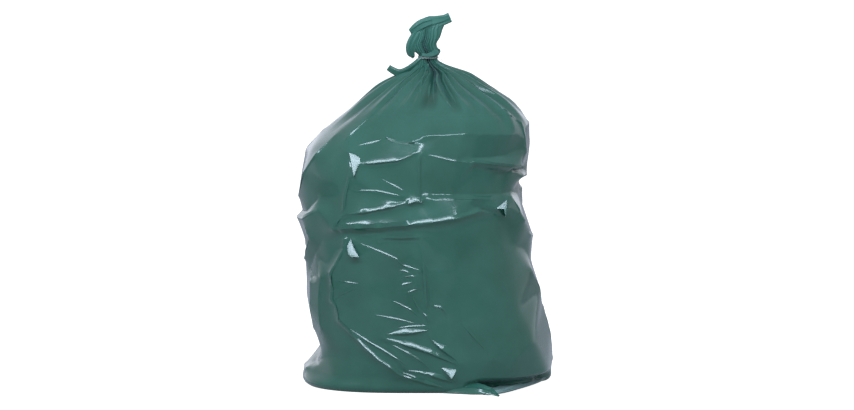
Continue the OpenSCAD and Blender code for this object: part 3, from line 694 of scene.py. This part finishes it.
def pinched_fold(film, points, width):
    """Rows of points round a small sharp fold, which stands on the film and shows its lit side."""
    steps = [math.hypot(way(b[0], a[0]), b[1] - a[1]) for a, b in zip(points, points[1:])]
    at = np.concatenate(((0,), np.cumsum(steps)))
    step = np.linspace(0, at[-1], max(7, round(at[-1] / 2)))
    run = np.interp(step, at, [points[0][0] + way(p[0], points[0][0]) for p in points])
    z = np.interp(step, at, [p[1] for p in points])
    angle = 2 * np.pi * run / FILM_ROUND - np.pi / 2
    out = np.stack((np.cos(angle), np.sin(angle), 0 * z), axis=-1)
    middle = np.stack((section_at(z, 1), section_at(z, 3), z), axis=-1) * MM
    hits = [film.ray_cast(m + o, -o)[1:3] for m, o in zip(middle, out)]
    place = evened(np.array([h[0] for h in hits]), 12)
    normal = unit(evened(np.array([h[1] for h in hits]), 24))
    along = unit(evened(np.gradient(place, axis=0), 8))
    normal = unit(normal - np.sum(normal * along, axis=1)[:, None] * along)
    lit = unit(evened(facing(place, normal, along), 8))
    across = np.cross(along, normal)
    lean = np.mean(np.sum(lit * across, axis=1))
    across *= math.copysign(1, lean if abs(lean) > 0.05 else np.mean(across[:, 2]))
    turn = np.arctan2(np.sum(lit * across, axis=1), np.sum(lit * normal, axis=1))
    turn = np.clip(turn, math.radians(6), math.radians(38))
    # The lit side bends a little, so that some of it faces the lamp squarely all along.
    steep, gentle = np.tan(turn + LIT_BEND), np.tan(turn - LIT_BEND)
    taper = np.clip(np.minimum(step, at[-1] - step) / min(40, 0.4 * at[-1]), 0, 1)
    half = width * taper / 2
    # The fold stands 0.6 mm proud in the middle of its length and sinks into the film at its ends.
    sunk = 1.1 * (1 - taper) - 0.6
    # Its section, across it and out of the film: the lit foot, the bend, the ridge, the far side.
    profile = (
        (2 * half + 3, -3 * steep), (half, half * steep), (0 * half, half * (steep + gentle)),
        (-0.7 * half - 0.5, -0.8 + 0 * half), (0.3 * half, -2 + 0 * half),
    )
    rows = [across * a[:, None] + normal * (b - sunk)[:, None] for a, b in profile]
    return place[:, None, :] + np.stack(rows, axis=1) * MM


def flat_facet(film, corners):
    """Rows of points over a flat facet that stands on the front of the film and faces the lamp."""
    found = [film.ray_cast((x * MM, -1, z * MM), (0, 1, 0))[1:3] for x, z in corners]
    hits = np.array([f[0] for f in found])
    top = hits[np.argmax(hits[:, 2])]
    out = unit(np.mean([f[1] for f in found], axis=0))
    # The facet's plane faces the lamp and is moved forward until it clears the film everywhere.
    n = facing(top[None], out[None], np.zeros((1, 3)))[0]
    plane = top[1] - ((hits[:, 0] - top[0]) * n[0] + (hits[:, 2] - top[2]) * n[2]) / n[1]
    plane -= max(plane - hits[:, 1]) + 0.3 * MM
    ring = np.stack((hits[:, 0], plane, hits[:, 2]), axis=-1)
    proud = ring.mean(axis=0) + 0.45 * MM * n
    return np.stack((np.repeat(proud[None], len(ring), axis=0), ring, hits + (0, 0.001, 0)))


def linear(value):
    """An sRGB hex colour such as 3F6D64 as linear RGBA."""
    shades = [int(value[i:i + 2], 16) / 255 for i in (0, 2, 4)]
    return (*[c / 12.92 if c <= 0.04045 else ((c + 0.055) / 1.055) ** 2.4 for c in shades], 1.0)


def add_node(tree, kind, links=None, **values):
    """Adds a node, sets its properties, and sets or links its sockets."""
    node = tree.nodes.new(kind)
    for key, value in values.items():
        setattr(node, key, value)
    for socket, source in (links or {}).items():
        if isinstance(source, bpy.types.NodeSocket):
            tree.links.new(source, node.inputs[socket])
        else:
            node.inputs[socket].default_value = source
    return node


def new_material(name, sockets):
    """A node material and its Principled shader, with the values that are the same all over."""
    material = bpy.data.materials.new(name)
    material.use_nodes = True
    shader = material.node_tree.nodes["Principled BSDF"]
    for socket, value in sockets.items():
        shader.inputs[socket].default_value = value
    return material, material.node_tree, shader


def polyethylene_film(name, dark, light, roughness):
    """Blown low-density polyethylene: thin, tinted right through and glossy, with a faint haze."""
    material, tree, shader = new_material(name, {
        "IOR": 1.51, "Specular IOR Level": 0.3, "Coat Roughness": 0.11,
        "Sheen Weight": 0.22, "Sheen Roughness": 0.4, "Sheen Tint": linear("D4DCF4"),
    })
    where = add_node(tree, "ShaderNodeTexCoord").outputs["Object"]
    # Thicker and thinner patches of the blown film, about 80 mm across, shade its tint.
    patches = add_node(tree, "ShaderNodeTexNoise", {"Vector": where, "Scale": 12.0, "Detail": 4.0})
    tint = add_node(tree, "ShaderNodeValToRGB", {"Fac": patches.outputs["Fac"]})
    tint.color_ramp.elements[0].position = 0.3
    tint.color_ramp.elements[0].color = dark
    tint.color_ramp.elements[1].position = 0.7
    tint.color_ramp.elements[1].color = light
    # Painted light: film above the tie is tinted lighter, for light that shines through its loose folds
    # and lifts their shade, and in the pleats it gets painted shade.
    height = add_node(tree, "ShaderNodeSeparateXYZ", {"Vector": where}).outputs["Z"]
    painted_light_above_tie = add_node(
        tree, "ShaderNodeMapRange", {"Value": height, "From Min": 0.62, "From Max": 0.68}
    ).outputs["Result"]
    # Painted shade: the mark laid on the mesh darkens the tint in the pleats' hollows.
    pleat_shade = add_node(tree, "ShaderNodeAttribute", attribute_name="pleat_shade").outputs["Fac"]
    deep = add_node(tree, "ShaderNodeMapRange", {"Value": pleat_shade, "From Min": 0.25, "To Max": 0.7})
    folded = add_node(
        tree, "ShaderNodeMix",
        {"Factor": deep.outputs["Result"], 6: tint.outputs["Color"], 7: linear(PLEAT_SHADE_TINT)},
        data_type="RGBA",
    )
    colour = add_node(
        tree, "ShaderNodeMix", {"Factor": painted_light_above_tie, 6: folded.outputs[2], 7: linear(TUFT_PAINTED_LIGHT_TINT)},
        data_type="RGBA",
    )
    # Gathered film is hazier than the taut film below it.
    gathered = add_node(
        tree, "ShaderNodeMapRange", {"Value": height, "From Min": 0.5, "From Max": 0.66}
    ).outputs["Result"]
    haze = add_node(
        tree, "ShaderNodeMapRange", {"Value": gathered, "To Min": roughness, "To Max": 0.5}
    )
    clear = add_node(tree, "ShaderNodeMapRange", {"Value": gathered, "To Min": 0.5, "To Max": 0.05})
    tree.links.new(colour.outputs[2], shader.inputs["Base Color"])
    tree.links.new(haze.outputs["Result"], shader.inputs["Roughness"])
    tree.links.new(clear.outputs["Result"], shader.inputs["Coat Weight"])
    # Stretch marks and slight waves a few millimetres across.
    waves = add_node(tree, "ShaderNodeTexNoise", {"Vector": where, "Scale": 160.0, "Detail": 3.0})
    bump = add_node(
        tree, "ShaderNodeBump", {"Height": waves.outputs["Fac"], "Strength": 0.12, "Distance": 0.001}
    )
    tree.links.new(bump.outputs["Normal"], shader.inputs["Normal"])
    return material


def cotton_thread(colour):
    """Twisted cotton sewing thread: matt, and flecked where its fibres lie closer."""
    material, tree, shader = new_material("twisted_cotton_thread", {"Roughness": 0.85})
    where = add_node(tree, "ShaderNodeTexCoord").outputs["Object"]
    # The flecks are about a millimetre across, coarser than real fibres.
    fibres = add_node(tree, "ShaderNodeTexNoise", {"Vector": where, "Scale": 900.0, "Detail": 2.0})
    shade = add_node(tree, "ShaderNodeValToRGB", {"Fac": fibres.outputs["Fac"]})
    shade.color_ramp.elements[0].color = tuple(0.6 * c for c in colour[:3]) + (1,)
    shade.color_ramp.elements[1].color = colour
    tree.links.new(shade.outputs["Color"], shader.inputs["Base Color"])
    return material


def matt_floor(colour):
    """Seamless paper lit to plain white, which keeps the shadow where the sack stands."""
    material, tree, shader = new_material(
        "seamless_paper", {"Base Color": colour, "Roughness": 0.9, "Specular IOR Level": 0.1}
    )
    path = add_node(tree, "ShaderNodeLightPath")
    glow = add_node(
        tree, "ShaderNodeEmission",
        {"Color": (1, 1, 1, 1), "Strength": path.outputs["Is Camera Ray"]},
    )
    both = add_node(
        tree, "ShaderNodeAddShader", {0: shader.outputs["BSDF"], 1: glow.outputs["Emission"]}
    )
    tree.links.new(both.outputs["Shader"], tree.nodes["Material Output"].inputs["Surface"])
    return material


def dress(obj, material, node="sack"):
    """Gives a piece its material, its body and the solid it stands for."""
    obj.data.materials.append(material)
    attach(obj, BODY)
    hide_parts(node)
    return obj


def film_material(s):
    """The film's own material, made once."""
    found = bpy.data.materials.get("blown_ldpe_film")
    return found or polyethylene_film("blown_ldpe_film", s.dark[:], s.light[:], s.roughness)


class SackFilmSettings(bpy.types.PropertyGroup):
    """Sizes and colours of the film."""

    facet_spacing: FloatProperty(
        name="Facet spacing", description="Distance between the corners of the flat facets",
        default=0.078, min=0.04, max=0.14, unit="LENGTH",
    )
    ruffle: FloatProperty(
        name="Ruffle", description="How far the facets' corners stand out or in",
        default=0.0026, min=0, max=0.006, unit="LENGTH",
    )
    facet_gain: FloatProperty(
        name="Facet gain", description="Share of the creases' full height", default=0.9, min=0, max=1.2
    )
    blur: IntProperty(name="Blur", description="How far facets run softly into each other", default=14)
    pleat_depth: FloatProperty(
        name="Pleat depth", description="Depth of the pleats, as a share of the neck's radius",
        default=0.3, min=0.1, max=0.4,
    )
    crowding: FloatProperty(
        name="Crowding", description="How much closer the mesh is on the front",
        default=0.5, min=0, max=0.6,
    )
    columns: IntProperty(name="Columns", description="Faces round the film", default=300, min=96, max=512)
    seed: IntProperty(name="Seed", description="Draw of the facets' corners", default=7)
    dark: FloatVectorProperty(
        name="Dark tint", description="Film where it is thickest", subtype="COLOR", size=4,
        default=linear("265648"), min=0, max=1,
    )
    light: FloatVectorProperty(
        name="Light tint", description="Film where it is thinnest", subtype="COLOR", size=4,
        default=linear("2E6153"), min=0, max=1,
    )
    roughness: FloatProperty(name="Roughness", description="Haze of the film", default=0.2, min=0, max=1)


class SackTieSettings(bpy.types.PropertyGroup):
    """Sizes and colour of the thread."""

    thread_d: FloatProperty(
        name="Thread diameter", description="Over both of its strands",
        default=0.0008, min=0.0004, max=0.0016, unit="LENGTH",
    )
    turns: IntProperty(name="Turns", description="Turns round the neck", default=3, min=2, max=4)
    colour: FloatVectorProperty(
        name="Thread", description="Colour of the thread", subtype="COLOR", size=4,
        default=linear("B9C0BD"), min=0, max=1,
    )


class SackStageSettings(bpy.types.PropertyGroup):
    """The floor, the surround and the camera."""

    floor: FloatVectorProperty(
        name="Floor", description="Colour of the floor", subtype="COLOR", size=4,
        default=linear("BEBEBE"), min=0, max=1,
    )
    surround: FloatProperty(
        name="Surround", description="Strength of the light from all round", default=0.56, min=0
    )
    distance: FloatProperty(
        name="Camera distance", description="From the camera to the sack", default=6.0, unit="LENGTH"
    )
    elevation: FloatProperty(
        name="Camera elevation", description="Angle at which the camera looks down",
        default=math.radians(6), subtype="ANGLE", unit="ROTATION",
    )


class SACK_OT_film(bpy.types.Operator):
    """Models the sack's film, creased and gathered at the neck"""

    bl_idname = "sack.film"
    bl_label = "Film"

    def execute(self, context):
        s = context.scene.sack_film
        net = FacetNet(s.facet_spacing / MM, s.ruffle / MM, s.seed)
        lattice, creased = film_lattice(net, s)
        film = dress(wrapped_object("sack_film", [lattice], creased), film_material(s))
        paint_pleat_shade(film)
        context.view_layer.update()
        folds = [pinched_fold(film, points, width) for points, width in net.pinched]
        for ridge in PLEAT_RIDGES:
            folds.append(pinched_fold(film, [(front_run(x, z), z) for x, z in ridge], RIDGE_W))
        dress(wrapped_object("pinched_folds", folds, sharp=20), film_material(s))
        facets = [flat_facet(film, corners) for corners in FACETS]
        dress(wrapped_object("flat_facets", facets, sharp=10), film_material(s))
        return {"FINISHED"}


class SACK_OT_tuft(bpy.types.Operator):
    """Models the folds of the loose film above the tie"""

    bl_idname = "sack.tuft"
    bl_label = "Tuft"

    def execute(self, context):
        s = context.scene.sack_film
        for name, stations, folds, seed in (
            ("tuft_left_lobe", LEFT_LOBE, 7, 3),
            ("tuft_left_corner", LEFT_CORNER, 6, 4),
            ("tuft_squared_end", SQUARED_END, 8, 5),
            ("tuft_wrapped_fold", WRAPPED_FOLD, 5, 8),
        ):
            dress(wrapped_object(name, [gathered_fold(stations, folds, seed)], sharp=30), film_material(s))
        return {"FINISHED"}


class SACK_OT_mouth_corner(bpy.types.Operator):
    """Models the corner of the mouth that slipped out under the tie"""

    bl_idname = "sack.mouth_corner"
    bl_label = "Mouth corner"

    def execute(self, context):
        folds = [gathered_fold(MOUTH_CORNER, 5, 11)]
        dress(wrapped_object("mouth_corner", folds, sharp=30), film_material(context.scene.sack_film))
        return {"FINISHED"}


class SACK_OT_bottom_seam(bpy.types.Operator):
    """Models the folded bottom seam that shows at the right of the foot"""

    bl_idname = "sack.bottom_seam"
    bl_label = "Bottom seam"

    def execute(self, context):
        s = context.scene.sack_film
        lip = wrapped_object("seam_lip", [gathered_fold(SEAM_LIP, 6, 13)], sharp=30)
        dress(lip, film_material(s))
        # Painted reflection: the film folded under the foot is tinted paler and greyer, for the sheen of
        # its layers and to lift it out of its shade.
        under = wrapped_object("seam_under", [gathered_fold(SEAM_UNDER, 12, 14)], sharp=20)
        dress(under, polyethylene_film("ldpe_film_painted_reflection", linear("4A736C"), linear("7C9D99"), 0.3))
        return {"FINISHED"}


def thread_route(turns):
    """Points along the thread in millimetres: its left end, its turns and its right end."""
    pitch, radius, start = 1.2, 20.05, 255
    sweep = 360 * turns + 60
    low = NECK_Z - turns * pitch / 2

    def wound(t):
        a = np.radians(start + sweep * t)
        return np.array((radius * np.cos(a), radius * np.sin(a), low + turns * pitch * t))

    def heading(t):
        a = np.radians(start + sweep * t)
        return np.array((-np.sin(a), np.cos(a), 0))

    def loose(root, away, length, droop, t):
        return root + length * (away * t - np.array((0, 0, droop * t**2)))

    ends = np.linspace(0, 1, 13)[1:]
    left = [loose(wound(0), -heading(0), *LEFT_END, t) for t in ends[::-1]]
    right = [loose(wound(1), heading(1), *RIGHT_END, t) for t in ends]
    return np.array(left + [wound(t) for t in np.linspace(0, 1, 40 * turns)] + right)


class SACK_OT_thread(bpy.types.Operator):
    """Models the thread of two twisted strands that binds the neck"""

    bl_idname = "sack.thread"
    bl_label = "Thread"

    def execute(self, context):
        s = context.scene.sack_tie
        route = smooth_route(thread_route(s.turns), 1200)
        along = np.gradient(route, axis=0)
        length = np.cumsum(np.linalg.norm(along, axis=1))
        along = unit(along)
        side = unit(np.cross(along, (0, 0, 1)))
        up = np.cross(side, along)
        twist = 2 * np.pi * length / 3
        strand = s.thread_d / MM / 4
        curve = bpy.data.curves.new("thread", "CURVE")
        curve.dimensions = "3D"
        curve.bevel_depth = 1.05 * strand * MM
        curve.bevel_resolution = 1
        curve.use_fill_caps = True
        for phase in (0, np.pi):
            points = route + strand * (
                np.cos(twist + phase)[:, None] * side + np.sin(twist + phase)[:, None] * up
            )
            spline = curve.splines.new("POLY")
            spline.points.add(len(points) - 1)
            spline.points.foreach_set("co", np.column_stack((points * MM, np.ones(len(points)))).ravel())
        holder = bpy.data.objects.new("thread_curve", curve)
        mesh = bpy.data.meshes.new_from_object(holder)
        bpy.data.objects.remove(holder)
        mesh.name = "binding_thread"
        obj = bpy.data.objects.new("binding_thread", mesh)
        context.scene.collection.objects.link(obj)
        dress(obj, cotton_thread(s.colour[:]), node="neck_tie")
        return {"FINISHED"}


class SACK_OT_stage(bpy.types.Operator):
    """Sets the floor, the lamps, the surround and the camera"""

    bl_idname = "sack.stage"
    bl_label = "Stage"

    def execute(self, context):
        s = context.scene.sack_stage
        scene = context.scene
        bm = bmesh.new()
        bmesh.ops.create_grid(bm, x_segments=1, y_segments=1, size=40)
        floor = new_object("floor", bm)
        floor.data.materials.append(matt_floor(s.floor[:]))
        scene.world = self.surround(s.surround)
        for name, place, size, power, mirrored in LAMPS:
            data = bpy.data.lights.new(name, "AREA")
            data.shape = "RECTANGLE"
            data.size, data.size_y = size
            data.energy = power
            data.color = linear("DCECFF")[:3]
            lamp = bpy.data.objects.new(name, data)
            lamp.location = place
            towards = Vector((0, 0, 0.35)) - lamp.location
            lamp.rotation_euler = towards.to_track_quat("-Z", "Y").to_euler()
            lamp.visible_glossy = mirrored
            scene.collection.objects.link(lamp)
        scene.camera = self.camera(scene, s)
        scene.view_settings.view_transform = "Standard"
        return {"FINISHED"}

    def surround(self, strength):
        """A pale surround, which the camera sees as plain white."""
        world = bpy.data.worlds.new("studio")
        world.use_nodes = True
        tree = world.node_tree
        # The surround is brighter behind the sack, which the film mirrors along its edges.
        where = add_node(tree, "ShaderNodeTexCoord").outputs["Generated"]
        split = add_node(tree, "ShaderNodeSeparateXYZ", {"Vector": where})
        behind = add_node(
            tree, "ShaderNodeMath", {0: split.outputs["Z"], 1: -1.2, 2: split.outputs["Y"]},
            operation="MULTIPLY_ADD",
        )
        around = add_node(
            tree, "ShaderNodeMapRange",
            {"Value": behind.outputs[0], "From Min": 0.1, "From Max": 0.9,
             "To Min": strength, "To Max": 1.2},
        )
        path = add_node(tree, "ShaderNodeLightPath")
        level = add_node(
            tree, "ShaderNodeMapRange",
            {"Value": path.outputs["Is Camera Ray"], "To Min": around.outputs["Result"], "To Max": 1.0},
        )
        background = tree.nodes["Background"]
        background.inputs["Color"].default_value = linear("F4F6FF")
        tree.links.new(level.outputs["Result"], background.inputs["Strength"])
        return world

    def camera(self, scene, s):
        """A camera whose lens is set for 500 pixels to the metre in a frame 854 pixels wide."""
        frame_w, pixels_per_metre = 854, 500
        data = bpy.data.cameras.new("camera")
        data.sensor_width = 36
        data.lens = data.sensor_width * pixels_per_metre * s.distance / frame_w
        camera = bpy.data.objects.new("camera", data)
        aim = Vector((-0.002, 0, 0.35))
        away = Vector((0, -math.cos(s.elevation), math.sin(s.elevation)))
        camera.location = aim + s.distance * away
        camera.rotation_euler = (-away).to_track_quat("-Z", "Y").to_euler()
        scene.collection.objects.link(camera)
        return camera


PARTS = (SACK_OT_film, SACK_OT_tuft, SACK_OT_mouth_corner, SACK_OT_bottom_seam, SACK_OT_thread)


class SACK_PT_parts(bpy.types.Panel):
    """Lists the sack's pieces, its sizes and the stage"""

    bl_idname = "SACK_PT_parts"
    bl_label = "Sack"
    bl_space_type = "VIEW_3D"
    bl_region_type = "UI"
    bl_category = "Sack"

    def draw(self, context):
        for operator in (*PARTS, SACK_OT_stage):
            self.layout.operator(operator.bl_idname)
        for settings in (context.scene.sack_film, context.scene.sack_tie, context.scene.sack_stage):
            box = self.layout.box()
            for name in settings.__annotations__:
                box.prop(settings, name)


CLASSES = (SackFilmSettings, SackTieSettings, SackStageSettings, *PARTS, SACK_OT_stage, SACK_PT_parts)


def register():
    for cls in CLASSES:
        bpy.utils.register_class(cls)
    bpy.types.Scene.sack_film = PointerProperty(type=SackFilmSettings)
    bpy.types.Scene.sack_tie = PointerProperty(type=SackTieSettings)
    bpy.types.Scene.sack_stage = PointerProperty(type=SackStageSettings)


def unregister():
    del bpy.types.Scene.sack_stage
    del bpy.types.Scene.sack_tie
    del bpy.types.Scene.sack_film
    for cls in reversed(CLASSES):
        bpy.utils.unregister_class(cls)


def main():
    register()
    bpy.ops.sack.film()
    bpy.ops.sack.tuft()
    bpy.ops.sack.mouth_corner()
    bpy.ops.sack.bottom_seam()
    bpy.ops.sack.thread()
    bpy.ops.sack.stage()


if __name__ == "__main__":
    main()
